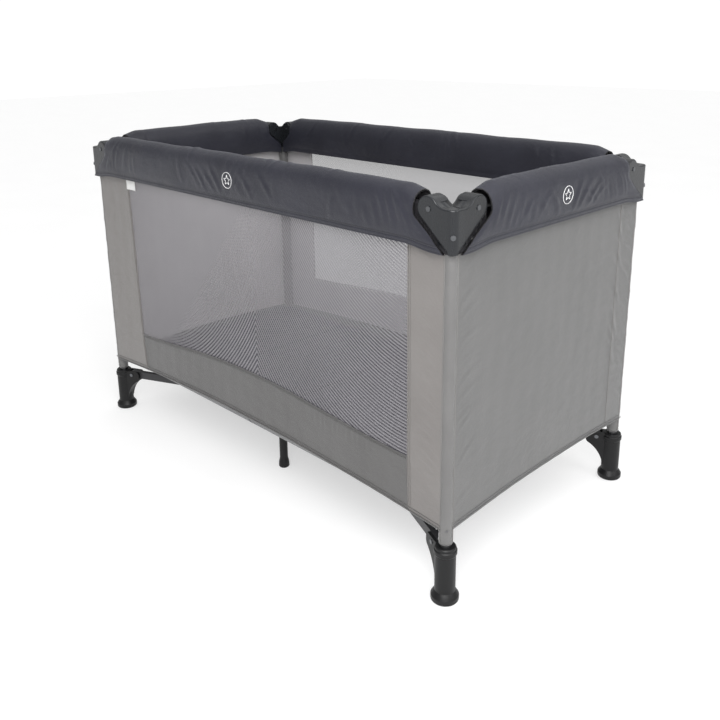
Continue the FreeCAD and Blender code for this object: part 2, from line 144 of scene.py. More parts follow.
def make_stage():
    """Pale floor with a faint glow, soft lights, and a sky that the camera sees brighter than it lights."""
    world = bpy.data.worlds.new("Studio")
    SCENE.world = world
    world.use_nodes = True
    tree = world.node_tree
    sky = tree.nodes["Background"]
    sky.inputs["Color"].default_value = (1.0, 1.0, 1.0, 1.0)
    seen = tree.nodes.new("ShaderNodeLightPath").outputs["Is Camera Ray"]
    strength = tree.nodes.new("ShaderNodeMath")
    strength.operation = "MULTIPLY_ADD"
    tree.links.new(seen, strength.inputs[0])
    strength.inputs[1].default_value = SKY_SEEN - SKY_LIGHT
    strength.inputs[2].default_value = SKY_LIGHT
    tree.links.new(strength.outputs[0], sky.inputs["Strength"])
    area_light("Key", (1.35, -1.25, 1.5), (0.4, -0.2, 0.45), (1.2, 1.2), KEY_POWER)
    area_light("Side", (3.4, 0.6, 2.6), (0.6, 0.1, 0.6), (1.6, 1.6), SIDE_POWER)
    overhead = bpy.data.lights.new("Overhead", "SUN")
    overhead.energy = OVERHEAD_POWER
    overhead.angle = math.radians(120)
    lamp = bpy.data.objects.new("Overhead", overhead)
    SCENE.collection.objects.link(lamp)
    lamp.rotation_euler = (math.radians(-4), math.radians(16), 0)
    SCENE.view_settings.view_transform = "Standard"
    mesh = bpy.data.meshes.new("Floor")
    ring = ((-1, -1), (1, -1), (1, 1), (-1, 1))
    mesh.from_pydata([(x * FLOOR_REACH, y * FLOOR_REACH, 0) for x, y in ring], [], [(0, 1, 2, 3)])
    floor = bpy.data.objects.new("Floor", mesh)
    SCENE.collection.objects.link(floor)
    paper = Shader("floor_paper")
    grain = paper.noise(paper.position(), 3.0, 3.0, 0.5)
    paper.set("Base Color", paper.ramp(grain, (0.50, 0.50, 0.50), (0.52, 0.52, 0.52)))
    paper.set("Emission Color", (1.0, 1.0, 1.0, 1.0))
    paper.set("Emission Strength", FLOOR_GLOW)
    paper.set("Roughness", 0.85)
    paper.set("Specular IOR Level", 0.1)
    mesh.materials.append(paper.material)


# -------- materials
class Shader:
    """One Principled material and short calls for the nodes that feed it."""

    def __init__(self, name):
        self.material = bpy.data.materials.new(name)
        self.material.use_nodes = True
        self.tree = self.material.node_tree
        self.bsdf = self.tree.nodes["Principled BSDF"]
        self.height = None

    def node(self, kind, *values, **settings):
        n = self.tree.nodes.new(kind)
        for key, value in settings.items():
            setattr(n, key, value)
        for socket, value in zip(n.inputs, values):
            self.feed(socket, value)
        return n

    def feed(self, socket, value):
        if value is None:
            return
        if isinstance(value, bpy.types.NodeSocket):
            self.tree.links.new(value, socket)
        else:
            socket.default_value = value

    def set(self, name, value):
        if isinstance(value, tuple) and len(value) == 3:
            value = (*value, 1.0)
        self.feed(self.bsdf.inputs[name], value)

    def uv(self):
        return self.node("ShaderNodeTexCoord").outputs["UV"]

    def position(self):
        return self.node("ShaderNodeTexCoord").outputs["Object"]

    def split(self, vector):
        return self.node("ShaderNodeSeparateXYZ", vector).outputs

    def math(self, operation, a, b=None, c=None, clamp=False):
        return self.node("ShaderNodeMath", a, b, c, operation=operation, use_clamp=clamp).outputs[0]

    def noise(self, vector, scale, detail=2.0, rough=0.5):
        n = self.node("ShaderNodeTexNoise")
        self.feed(n.inputs["Vector"], vector)
        n.inputs["Scale"].default_value = scale
        n.inputs["Detail"].default_value = detail
        n.inputs["Roughness"].default_value = rough
        return n.outputs[0]

    def stretch(self, vector, scale, turn=0.0):
        n = self.node("ShaderNodeMapping")
        self.feed(n.inputs["Vector"], vector)
        n.inputs["Scale"].default_value = scale
        n.inputs["Rotation"].default_value = (0, 0, turn)
        return n.outputs[0]

    def ramp(self, factor, low, high, start=0.3, end=0.7):
        n = self.node("ShaderNodeValToRGB", factor)
        n.color_ramp.elements[0].position = start
        n.color_ramp.elements[1].position = end
        n.color_ramp.elements[0].color = (*low, 1.0)
        n.color_ramp.elements[1].color = (*high, 1.0)
        return n.outputs[0]

    def cover(self, colour, over, share):
        """Colour with another one laid over it by a share."""
        n = self.node("ShaderNodeMix", data_type="RGBA")
        self.feed(n.inputs["Factor"], share)
        self.feed(n.inputs["A"], colour)
        n.inputs["B"].default_value = (*over, 1.0)
        return n.outputs["Result"]

    def wave(self, coordinate, period):
        """Sine of a coordinate, from 0 to 1 over the period in metres."""
        angle = self.math("MULTIPLY", coordinate, 2 * math.pi / period)
        return self.math("MULTIPLY_ADD", self.math("SINE", angle), 0.5, 0.5)

    def bump(self, height, distance, strength=1.0):
        """Adds a bump layer over the ones made before."""
        n = self.node("ShaderNodeBump")
        self.feed(n.inputs["Height"], height)
        n.inputs["Distance"].default_value = distance
        n.inputs["Strength"].default_value = strength
        if self.height is not None:
            self.feed(n.inputs["Normal"], self.height)
        self.height = n.outputs[0]
        self.set("Normal", self.height)


def weave(shader, u, v, pitch, distance):
    warp = shader.wave(u, pitch)
    weft = shader.wave(v, pitch)
    over = shader.math("MULTIPLY", warp, weft)
    under = shader.math("MULTIPLY", shader.math("SUBTRACT", 1.0, warp), shader.math("SUBTRACT", 1.0, weft))
    shader.bump(shader.math("ADD", over, under), distance)


def cloth(name, dark, light, roughness=0.45, sheen=0.25, crease=0.0016, stitches=(), pitch=0.0011,
          specular=0.45, tint=(1.0, 1.0, 1.0), seams=()):
    """Woven polyester, with thread streaks that are partly painted sheen. stitches are the places of sewn
    lines, and seams the places of seam grooves darkened with painted shade, as v in metres.
    """
    m = Shader(name)
    uv = m.uv()
    u, v, _ = m.split(uv)
    broad = m.noise(uv, 7.0, 3.0, 0.55)
    m.bump(m.noise(m.stretch(uv, (22.0, 34.0, 1.0), 0.6), 1.0, 3.0, 0.6), crease)
    m.bump(m.noise(uv, 160.0, 2.0, 0.5), 0.00016)
    weave(m, u, v, pitch, 0.00012)
    colour = m.ramp(broad, dark, light)
    # Streaks along the threads, lighter and darker in the colour: partly the threads' own tone, partly
    # painted sheen.
    thread_and_sheen_streaks = m.noise(m.stretch(uv, (30.0, 900.0, 1.0)), 1.0, 2.0, 0.6)
    thread_and_sheen_tone = m.math("MULTIPLY_ADD", thread_and_sheen_streaks, 0.10, 0.95)
    mixed = m.node("ShaderNodeVectorMath", colour, operation="SCALE")
    m.feed(mixed.inputs["Scale"], thread_and_sheen_tone)
    colour = mixed.outputs[0]
    # Painted shade: each seam's groove gets a dark line in the colour.
    for height in seams:
        off = m.math("ABSOLUTE", m.math("SUBTRACT", v, height))
        painted_groove_shade = m.math("SUBTRACT", 1.0, m.math("DIVIDE", off, 0.0011, clamp=True), clamp=True)
        colour = m.cover(colour, (c * 0.25 for c in dark), m.math("MULTIPLY", painted_groove_shade, 0.8))
    for height in stitches:
        off = m.math("ABSOLUTE", m.math("SUBTRACT", v, height))
        line = m.math("LESS_THAN", off, 0.00055)
        dash = m.math("GREATER_THAN", m.wave(u, 0.0042), 0.28)
        thread = m.math("MULTIPLY", line, dash)
        groove = m.math("SUBTRACT", 1.0, m.math("DIVIDE", off, 0.0016, clamp=True))
        m.bump(m.math("MULTIPLY", groove, -1.0), 0.0005)
        m.bump(thread, 0.0003)
        colour = m.cover(colour, (c * 0.35 for c in dark), m.math("MULTIPLY", thread, 0.55))
    m.set("Base Color", colour)
    m.set("Roughness", m.math("MULTIPLY_ADD", broad, 0.14, roughness - 0.07))
    m.set("Sheen Weight", sheen)
    m.set("Sheen Roughness", 0.4)
    m.set("Sheen Tint", tint)
    m.set("Specular IOR Level", specular)
    return m.material


RIB_MIDDLE = 0.06
RIBS_PER_METRE, RIBS_CROWD = 74.0, 167.0
RIB_BEND = (163.7, -3.95, -49.8)
RIB_FADE = (6.0, -5.0, 3.3)
NET_OPEN = 0.62
KNIT_WIDE, KNIT_TALL = 0.0026, 0.0022


def net_cloth(name, rib=0.4):
    """Knitted net, in metres: fine holes, and ribs that crowd outward and fade at the upper left."""
    m = Shader(name)
    uv = m.uv()
    x, z, _ = m.split(uv)
    u = m.math("ABSOLUTE", m.math("SUBTRACT", x, RIB_MIDDLE))
    density = m.math("MULTIPLY_ADD", u, RIBS_CROWD, RIBS_PER_METRE)
    bend = m.math("MULTIPLY_ADD", u, RIB_BEND[0], RIB_BEND[1])
    bend = m.math("MULTIPLY", m.math("MULTIPLY_ADD", bend, u, RIB_BEND[2]), u)
    cycles = m.math("SUBTRACT", m.math("MULTIPLY", density, z), bend)
    ribs = m.math("SINE", m.math("MULTIPLY", cycles, 2 * math.pi))
    fade = m.math("MULTIPLY_ADD", x, RIB_FADE[0], m.math("MULTIPLY_ADD", z, *RIB_FADE[1:]), clamp=True)
    knit = m.math("MULTIPLY", m.wave(x, KNIT_WIDE), m.wave(z, KNIT_TALL))
    open_share = m.math("MULTIPLY_ADD", m.math("MULTIPLY", ribs, fade), rib, NET_OPEN)
    alpha = m.math("ADD", open_share, m.math("MULTIPLY_ADD", knit, 0.04, -0.01), clamp=True)
    m.set("Alpha", alpha)
    tone = m.noise(uv, 5.0, 2.0, 0.5)
    m.set("Base Color", m.ramp(tone, (0.195, 0.188, 0.202), (0.22, 0.213, 0.228)))
    m.bump(knit, 0.0003)
    m.set("Roughness", 0.7)
    m.set("Specular IOR Level", 0.2)
    m.set("Sheen Weight", 0.15)
    return m.material


def moulded(name, dark, light, roughness=0.35, grain=0.00006, coat=0.0):
    """Moulded plastic: fine spark texture, faint flow marks, handling scuffs."""
    m = Shader(name)
    p = m.position()
    flow = m.noise(m.stretch(p, (9.0, 9.0, 3.0)), 1.0, 4.0, 0.55)
    m.set("Base Color", m.ramp(flow, dark, light, 0.35, 0.65))
    m.bump(m.noise(p, 900.0, 2.0, 0.6), grain)
    m.bump(m.noise(p, 60.0, 2.0, 0.5), 0.00025)
    scuff = m.noise(m.stretch(p, (180.0, 180.0, 40.0)), 1.0, 4.0, 0.7)
    m.set("Roughness", m.math("MULTIPLY_ADD", scuff, 0.22, roughness - 0.1))
    m.set("Specular IOR Level", 0.3)
    m.set("Coat Weight", coat)
    m.set("Coat Roughness", 0.18)
    return m.material


def metal(name, colour, roughness, brushed=(4.0, 4.0, 700.0), metallic=1.0):
    m = Shader(name)
    p = m.position()
    lines = m.noise(m.stretch(p, brushed), 1.0, 3.0, 0.6)
    m.set("Base Color", m.ramp(lines, tuple(c * 0.82 for c in colour), colour))
    m.bump(lines, 0.00004)
    m.set("Roughness", m.math("MULTIPLY_ADD", lines, 0.2, roughness - 0.1))
    m.set("Metallic", metallic)
    return m.material


def webbing_cloth(name, dark, light):
    m = Shader(name)
    p = m.position()
    x, y, _ = m.split(p)
    weave(m, x, y, 0.0016, 0.0003)
    m.set("Base Color", m.ramp(m.noise(p, 300.0, 2.0), dark, light))
    m.set("Roughness", 0.8)
    m.set("Sheen Weight", 0.2)
    return m.material


MAT = {}


def make_materials():
    MAT["wall"] = cloth("wall_cloth", (0.098, 0.098, 0.097), (0.114, 0.113, 0.112), 0.46, 0.3, 0.0013)
    MAT["panel"] = cloth("wall_panel_cloth", (0.16, 0.149, 0.143), (0.184, 0.173, 0.166), 0.44, 0.3, 0.0016)
    MAT["sleeve"] = cloth("sleeve_cloth", (0.12, 0.118, 0.117), (0.15, 0.148, 0.146), 0.38, 0.3, 0.0012)
    MAT["welt"] = cloth("welt_cloth", (0.13, 0.126, 0.123), (0.165, 0.161, 0.157), 0.5, 0.2, 0.0004)
    MAT["band"] = cloth("band_cloth", (0.084, 0.082, 0.081), (0.098, 0.096, 0.095), 0.46, 0.3, 0.0013)
    MAT["back"] = cloth("wall_back_cloth", (0.52, 0.505, 0.515), (0.58, 0.565, 0.57), 0.6, 0.2, 0.0013)
    MAT["net"] = net_cloth("window_net")
    MAT["rear_net"] = net_cloth("rear_window_net", 0.03)
    # The cover's seam at 11.7 mm carries a painted shade line along its groove.
    MAT["cover"] = cloth("cover_cloth", (0.0165, 0.0168, 0.024), (0.0235, 0.024, 0.034), 0.35, 0.07, 0.0018,
                         stitches=(0.0032, 0.0092), specular=0.36, tint=(0.82, 0.86, 1.0), seams=(0.0117,))
    MAT["lining"] = cloth("cover_lining", (0.024, 0.023, 0.026), (0.036, 0.035, 0.039), 0.7, 0.1, 0.002,
                          specular=0.15)
    MAT["mattress"] = cloth("mattress_cloth", (0.020, 0.017, 0.032), (0.030, 0.026, 0.045), 0.6, 0.15, 0.0022)
    MAT["mattress_welt"] = cloth("mattress_welt", (0.030, 0.028, 0.038), (0.045, 0.042, 0.055), 0.6, 0.2,
                                 0.0004)
    MAT["floor"] = cloth("floor_cloth_back", (0.10, 0.10, 0.105), (0.13, 0.13, 0.135), 0.6, 0.2, 0.002)
    MAT["print"] = cloth("emblem_print", (0.80, 0.80, 0.80), (0.88, 0.88, 0.88), 0.5, 0.1, 0.0002)
    MAT["tag"] = cloth("tag_cloth", (0.74, 0.74, 0.73), (0.82, 0.82, 0.81), 0.55, 0.1, 0.0004,
                       stitches=(0.0015,))
    MAT["bracket"] = moulded("bracket_plastic", (0.010, 0.011, 0.013), (0.015, 0.0165, 0.019), 0.27, 0.00003,
                             0.35)
    MAT["foot"] = moulded("foot_plastic", (0.004, 0.004, 0.0045), (0.007, 0.007, 0.0075), 0.42)
    MAT["button"] = moulded("button_plastic", (0.16, 0.16, 0.17), (0.2, 0.2, 0.21), 0.4)
    MAT["strut"] = metal("strut_enamel", (0.045, 0.045, 0.048), 0.42, (3.0, 3.0, 60.0), 0.3)
    MAT["tube"] = metal("tube_steel", (0.13, 0.13, 0.135), 0.42)
    MAT["rivet"] = metal("rivet_steel", (0.16, 0.165, 0.175), 0.3, (300.0, 300.0, 300.0))
    MAT["webbing"] = webbing_cloth("strap_webbing", (0.03, 0.03, 0.033), (0.05, 0.05, 0.055))


def dress_frame():
    """Materials for the rigid CAD nodes, which stay as they are."""
    finish = {
        "leg_tube": "tube", "bracket_outer": "bracket", "bracket_inner": "bracket", "leg_rivets": "rivet",
        "foot": "foot", "strut": "strut", "long_rail": "tube", "end_rail": "tube", "lock_button": "button",
        "lock": "foot", "hub": "foot", "hub_pins": "rivet", "pull_strap": "webbing", "centre_arm": "strut",
        "centre_foot": "foot",
    }
    for name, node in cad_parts.items():
        kinds = [k for k in finish if name == k or name.startswith(k + "_")]
        if not kinds:
            continue
        kind = max(kinds, key=len)
        node.data.materials.clear()
        node.data.materials.append(MAT[finish[kind]])


# -------- mesh building
class Piece:
    """Collects surfaces in mm, with flat cloth coordinates, into one mesh object."""

    def __init__(self):
        self.points, self.faces, self.flat, self.slots = [], [], [], []
        self.count = 0

    def grid(self, p, flat=None, slot=0, wrap=False, ends=False, flip=False):
        """p is (columns, rows, 3); wrap closes the rows into a ring, ends caps the first and last ring."""
        p = np.asarray(p, float)
        n, m = p.shape[:2]
        if flat is None:
            du = np.linalg.norm(np.diff(p, axis=0), axis=2).mean(1)
            dv = np.linalg.norm(np.diff(p, axis=1), axis=2).mean(0)
            flat = np.stack(np.meshgrid(np.r_[0, du.cumsum()], np.r_[0, dv.cumsum()], indexing="ij"), -1)
        base = self.count
        index = base + np.arange(n * m).reshape(n, m)
        rows = m if wrap else m - 1
        for i in range(n - 1):
            for j in range(rows):
                k = (j + 1) % m
                quad = [index[i, j], index[i + 1, j], index[i + 1, k], index[i, k]]
                self.faces.append(quad[::-1] if flip else quad)
                self.slots.append(slot)
        if ends:
            first, last = list(index[0]), list(index[-1])
            for ring in ((first, last[::-1]) if flip else (first[::-1], last)):
                self.faces.append(ring[::-1])
                self.slots.append(slot)
        self.points.append(p.reshape(-1, 3))
        self.flat.append(np.asarray(flat, float).reshape(-1, 2))
        self.count += n * m

    def tube(self, path, radius, sides=8, slot=0, closed=False):
        """Round cord along a path; radius is one number or one for each point."""
        path = np.asarray(path, float)
        radius = np.broadcast_to(np.asarray(radius, float), (len(path),))
        if closed:
            ahead = np.roll(path, -1, 0) - np.roll(path, 1, 0)
        else:
            ahead = np.gradient(path, axis=0)
        ahead /= np.linalg.norm(ahead, axis=1)[:, None]
        guide = np.array([0.0, 0.0, 1.0])
        if abs(ahead[:, 2]).mean() > 0.8:
            guide = np.array([1.0, 0.3, 0.0])
        across = np.cross(ahead, guide)
        across /= np.linalg.norm(across, axis=1)[:, None]
        over = np.cross(across, ahead)
        angle = np.linspace(0, 2 * math.pi, sides, endpoint=False)
        ring = across[:, None] * np.cos(angle)[None, :, None] + over[:, None] * np.sin(angle)[None, :, None]
        p = path[:, None] + ring * radius[:, None, None]
        if closed:
            p = np.concatenate([p, p[:1]])
        self.grid(p, slot=slot, wrap=True, ends=not closed)

    def make(self, name, materials, merge=0.0):
        mesh = bpy.data.meshes.new(name)
        co = np.concatenate(self.points) * MM
        mesh.from_pydata(co.tolist(), [], [[int(i) for i in f] for f in self.faces])
        flat = np.concatenate(self.flat) * MM
        layer = mesh.uv_layers.new(name="Flat")
        corner = np.empty(len(mesh.loops), np.int32)
        mesh.loops.foreach_get("vertex_index", corner)
        layer.data.foreach_set("uv", flat[corner].astype(np.float32).ravel())
        mesh.polygons.foreach_set("material_index", np.array(self.slots, np.int32))
        mesh.polygons.foreach_set("use_smooth", np.full(len(self.faces), True))
        for material in materials:
            mesh.materials.append(MAT[material])
        mesh.update()
        obj = bpy.data.objects.new(name, mesh)
        SCENE.collection.objects.link(obj)
        if merge:
            weld(obj, merge)
        return obj


def weld(obj, distance):
    work = bmesh.new()
    work.from_mesh(obj.data)
    bmesh.ops.remove_doubles(work, verts=work.verts, dist=distance * MM)
    work.to_mesh(obj.data)
    work.free()
    obj.data.update()


def thicken(obj, thickness, offset=-1.0):
    shell = obj.modifiers.new("Thickness", "SOLIDIFY")
    shell.thickness = thickness * MM
    shell.offset = offset
    shell.use_even_offset = True
    return shell


def folds(s, t, marks):
    """Height of soft wrinkles: each mark is (s, t, angle, length, width, height)."""
    total = np.zeros(np.broadcast(s, t).shape)
    for s0, t0, angle, length, width, height in marks:
        c, n = math.cos(math.radians(angle)), math.sin(math.radians(angle))
        along = (s - s0) * c + (t - t0) * n
        across = -(s - s0) * n + (t - t0) * c + 0.0035 * along ** 2 * (1 if height > 0 else -1)
        total += height * np.exp(-(along / length) ** 2) * (
            np.exp(-(across / width) ** 2) - 0.5 * np.exp(-((across - 1.6 * width) / (1.3 * width)) ** 2))
    return total


def curve_through(points, count):
    """Smooth line through a few points, sampled evenly."""
    p = np.asarray(points, float)
    padded = np.concatenate([2 * p[:1] - p[1:2], p, 2 * p[-1:] - p[-2:-1]])
    dense = []
    for i in range(len(p) - 1):
        a, b, c, d = padded[i:i + 4]
        t = np.linspace(0, 1, 24, endpoint=False)[:, None]
        dense.append(0.5 * (2 * b + (c - a) * t + (2 * a - 5 * b + 4 * c - d) * t ** 2
                            + (3 * b - a - 3 * c + d) * t ** 3))
    dense = np.concatenate(dense + [p[-1:]])
    run = np.r_[0, np.linalg.norm(np.diff(dense, axis=0), axis=1).cumsum()]
    at = np.linspace(0, run[-1], count)
    return np.stack([np.interp(at, run, dense[:, k]) for k in range(p.shape[1])], -1), at


# -------- walls
HEM = {"front": (152.0, 178.0), "rear": (152.0, 178.0), "left": (155.0, 166.0), "right": (155.0, 166.0)}
WINDOW = {"front": (-444.0, 511.0), "rear": (-474.0, 474.0)}
WINDOW_LEAN = {"front": 9.0, "rear": 6.0}
WINDOW_RISE, SILL_LEFT_Z, SILL_RIGHT_Z = 425.0, 265.0, 270.0
SILL_X = np.array([-438.0, -280.0, -18.0, 296.0, 511.0])
SILL_Z = np.array([264.0, 277.0, 296.0, 283.0, 271.0])
WALL_EDGE = 2.0
WALL_TOP_Z = 674.5
SEAM_TOP_Z = 694.0


def hem_height(side, s):
    low, high = HEM[side]
    return high - (high - low) * (np.asarray(s, float) / HALF[side]) ** 2


def bracket_slope(inward):
    """How much a wall's top and the lining's foot rise beside a leg: they follow the bracket's edge."""
    return np.clip(inward - 18.0, 0, 22.5)


def wall_top(side, s):
    return WALL_TOP_Z + bracket_slope(HALF[side] - np.abs(s))


def sill_height(s):
    fit = np.polyfit(SILL_X, SILL_Z, 4)
    return np.polyval(fit, s)


def window_side(side, z, right):
    """Edge of the window, also followed by the seam below it down to the hem."""
    left_edge, right_edge = WINDOW[side]
    if right:
        return right_edge + np.where(z < SILL_RIGHT_Z, (SILL_RIGHT_Z - z) * 0.035, 0.0)
    lean = WINDOW_LEAN[side] * (z - SILL_LEFT_Z) / WINDOW_RISE
    return left_edge + 6.0 - lean + np.where(z < SILL_LEFT_Z, (SILL_LEFT_Z - z) * 0.07, 0.0)


def ripple(side, s, z):
    """Out-of-plane waviness of a stretched wall, in mm outward."""
    half = HALF[side]
    wave = 0.12 * np.sin(s / 7.6 + 1.3 * np.sin(z / 130.0)) + 0.35 * np.sin(s / 47.0 + z / 150.0)
    calm = smooth(half - np.abs(s), 4, 60)
    return wave * calm


def wall_marks(side):
    """Small creases beside the seams, by side."""
    marks = []
    half = HALF[side]
    local = np.random.RandomState({"front": 3, "rear": 5, "left": 8, "right": 9}[side])
    zs = np.arange(215, 670, 21.0)
    for z in zs:
        edge = half - 30 - local.uniform(0, 14)
        size = 1.5 if side in ("right", "left") else 1.0
        marks.append((edge, z + local.uniform(-7, 7), local.uniform(-38, -14), 21 * size, 4.5,
                      local.uniform(0.5, 1.3)))
        if local.uniform() < 0.55:
            marks.append((-edge, z + local.uniform(-7, 7), local.uniform(14, 38), 18 * size, 4.2,
                          local.uniform(0.4, 0.9)))
    if side in ("right", "left"):
        for z in np.arange(330, 680, 26.0):
            marks.append((half - 62 - local.uniform(0, 12), z, local.uniform(-70, -48), 24, 6,
                          local.uniform(0.8, 1.6)))
    else:
        for k in range(9):
            marks.append((250 + 19 * k + local.uniform(-5, 5), 262 - k, local.uniform(78, 100), 13, 3.2,
                          local.uniform(0.4, 0.9)))
    return marks


def wall_surface(side, s, z):
    bow = 1.0 * np.sin(np.pi * np.clip((z - 150) / 540.0, 0, 1)) * smooth(HALF[side] - np.abs(s), 0, 120)
    d = WALL_PLANE[side] - 1.0 + ripple(side, s, z) - bow
    return d + folds(s, z, wall_marks(side)) * smooth(HALF[side] - np.abs(s), 2, 14)


def block(left, right, low, high, columns, rows):
    """Grid of a wall between two side lines and two height lines."""
    a = np.linspace(0, 1, columns)[:, None]
    b = np.linspace(0, 1, rows)[None, :]
    z = np.full((columns, rows), 300.0)
    s = np.zeros_like(z)
    for _ in range(3):
        s = left(z) * (1 - a) + right(z) * a
        z = low(s) * (1 - b) + high(s) * b
    return s, z


def add_block(piece, side, edges, slot=0):
    s, z = block(*edges)
    piece.grid(place(side, s, wall_surface(side, s, z), z), flat=np.stack([s, z], -1), slot=slot)
    return s, z


def ridge(piece, side, s, z, radius, slot, lift=0.6):
    piece.tube(place(side, s, wall_surface(side, s, z) + lift, z), radius, 6, slot)


def flat_area(s, z):
    """Area of a grid given by its flat coordinates, in square metres."""
    a = np.stack([s, z], -1)
    d1, d2 = a[1:, 1:] - a[:-1, :-1], a[:-1, 1:] - a[1:, :-1]
    return float(np.abs(d1[..., 0] * d2[..., 1] - d1[..., 1] * d2[..., 0]).sum() / 2 * MM * MM)


def finish_wall_piece(obj, side):
    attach(obj, "leg_" + LEFT_LEG[side])
    axis = place(side, 1.0, 0.0, 0.0)
    tuple((place(side, -HALF[side], 0, 0) * MM).tolist())
    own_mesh(obj)


def make_wall(side):
    half = HALF[side] - WALL_EDGE
    hem = lambda s: hem_height(side, s)
    top = lambda s: wall_top(side, s)
    ends = (lambda z: np.full_like(z, -half), lambda z: np.full_like(z, half))
    piece = Piece()
    netted = side in WINDOW
    if netted:
        left = lambda z: window_side(side, z, False)
        right = lambda z: window_side(side, z, True)
        flat_area(*add_block(piece, side, (ends[0], left, hem, top, 40, 110), 1))
        flat_area(*add_block(piece, side, (left, right, hem, sill_height, 260, 30), 0))
        flat_area(*add_block(piece, side, (right, ends[1], hem, top, 34, 110), 1))
        z = np.linspace(hem_height(side, 450.0), SEAM_TOP_Z, 120)
        for line in (left, right):
            ridge(piece, side, line(z), z, 0.8, 1)
            ridge(piece, side, line(z) + 5.5 * (1 if line is right else -1), z, 0.5, 1)
        s = np.linspace(left(np.array(264.0)), right(np.array(271.0)), 200)
        ridge(piece, side, s, sill_height(s), 0.9, 0)
        ridge(piece, side, s, sill_height(s) - 6.0, 0.5, 0)
    else:
        seam = half - 66.0
        edge = lambda z: np.full_like(z, seam)
        flat_area(*add_block(piece, side, (ends[0], edge, hem, top, 170, 120), 0))
        flat_area(*add_block(piece, side, (edge, ends[1], hem, top, 30, 120), 0))
        z = np.linspace(hem_height(side, seam), SEAM_TOP_Z, 120)
        ridge(piece, side, edge(z), z, 0.6, 1, 0.3)
    s = np.linspace(-half, half, 160)
    for lift, radius in ((1.6, 1.9), (9.0, 0.6)):
        ridge(piece, side, s, hem(s) + lift, radius, 0)
    face = "band" if netted else "wall"
    wall = piece.make("wall_" + side + "_cloth", [face, "panel", "welt", "back", "back", "back"], merge=0.02)
    thicken(wall, 0.7).material_offset = 3
    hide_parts("wall_" + side)
    finish_wall_piece(wall, side)
    if netted:
        net = Piece()
        shrink = lambda line, by: (lambda at: line(at) + by)
        above_sill = shrink(sill_height, 0.5)
        s, z = block(shrink(left, 0.5), shrink(right, -0.5), above_sill, top, 240, 90)
        d = wall_surface(side, s, z) - 1.2
        net.grid(place(side, s, d, z), flat=np.stack([s, z], -1))
        obj = net.make("window_" + side, ["net" if side == "front" else "rear_net"])
        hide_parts("wall_" + side)
        finish_wall_piece(obj, side)


SLEEVE_LOW, SLEEVE_HIGH, SLEEVE_R, WELT_REACH = 121.0, 674.0, 13.0, 13.2


def make_sleeve(corner):
    centre, out_x, out_y = post(corner)
    z = np.linspace(SLEEVE_LOW, SLEEVE_HIGH, 150)
    angle = np.linspace(0, 2 * math.pi, 40, endpoint=False)
    zz, aa = np.meshgrid(z, angle, indexing="ij")
    local = np.random.RandomState(CORNERS.index(corner) + 20)
    r = SLEEVE_R + 0.25 * np.sin(zz / 9.0 + 2 * aa) + 0.2 * np.sin(zz / 23.0 - aa)
    gather = np.exp(-(zz - SLEEVE_LOW) / 16.0)
    r = r + gather * 0.8 * np.sin(zz / 1.5 + aa) - 1.1 * np.exp(-(zz - SLEEVE_LOW) / 5.0)
    for _ in range(26):
        z0, a0 = local.uniform(150, 660), local.uniform(0, 2 * math.pi)
        turn = np.angle(np.exp(1j * (aa - a0)))
        dent = np.exp(-((zz - z0 - 9 * turn) / 4.0) ** 2) * np.exp(-(turn / 0.7) ** 2)
        r += local.uniform(0.25, 0.7) * dent
    p = np.stack([centre[0] + r * np.cos(aa), centre[1] + r * np.sin(aa), zz], -1)
    piece = Piece()
    piece.grid(p, flat=np.stack([aa * SLEEVE_R, zz], -1), wrap=True)
    zs = np.linspace(SLEEVE_LOW + 6.0, SLEEVE_HIGH, 90)
    for dx, dy in ((-out_x * 3.0, out_y * WELT_REACH), (out_x * WELT_REACH, -out_y * 3.0)):
        path = [(centre[0] + dx, centre[1] + dy, height) for height in zs]
        piece.tube(path, 1.5, 8, 1)
    sleeve = piece.make("leg_sleeve_" + corner, ["sleeve", "welt"])
    thicken(sleeve, 0.6)
    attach(sleeve, "leg_" + corner)


# -------- rail covers
MIDDLE = 38.0
COVER_SECTION = [(27.6, 683.0), (28.2, 689.0), (28.4, 694.0), (29.6, 712.0), (30.0, 735.0), (28.4, 756.0),
                 (22.5, 772.0), (11.0, 781.0), (-1.0, 782.6), (-12.5, 777.5), (-20.5, 763.0), (-24.4, 740.0),
                 (-24.6, 712.0), (-23.6, 694.0), (-23.0, 683.0)]
LOBE_REACH = {"front": 58.0, "rear": 58.0, "left": 68.0, "right": 68.0}
LOBE_R = 22.0
BRACKET_TIP = (-12.0, 676.0)
END_GAP = ([676.0, 690.0, 705.0, 722.0, 735.0, 748.0, 765.0, 775.0, 790.0],
           [-1.5, -0.5, 3.0, 6.5, 6.0, 4.0, 3.0, 2.5, 2.5])
SHELL = 5.0
END_SPARE, END_RUN = 3.0, 95.0
SEAM_AT = 11.5
END_DROP, DROP_RUN = 0.2, 34.0
EMBLEM_AT, EMBLEM_Z, EMBLEM_R = {"front": 9.0, "right": -3.0}, 733.0, 17.0


def cover_end(side, z):
    """How near to the leg's axis a cover reaches, at a height: it follows the bracket's outline."""
    centre = LOBE_REACH[side] - LOBE_R
    run, rise = centre - BRACKET_TIP[0], RAIL_Z - BRACKET_TIP[1]
    slope = math.atan2(rise, run) - math.asin(LOBE_R / math.hypot(run, rise))
    touch_u = centre + LOBE_R * math.sin(slope)
    touch_z = RAIL_Z - LOBE_R * math.cos(slope)
    line = BRACKET_TIP[0] + (z - BRACKET_TIP[1]) / math.tan(slope)
    circle = centre + np.sqrt(np.maximum(LOBE_R ** 2 - (z - RAIL_Z) ** 2, 0.0))
    edge = np.where(z < touch_z, np.minimum(line, touch_u), np.where(z < RAIL_Z, circle, LOBE_REACH[side]))
    return edge + np.interp(z, *END_GAP)


def cover_half(side):
    return HALF[side] - LOBE_REACH[side] - END_SPARE


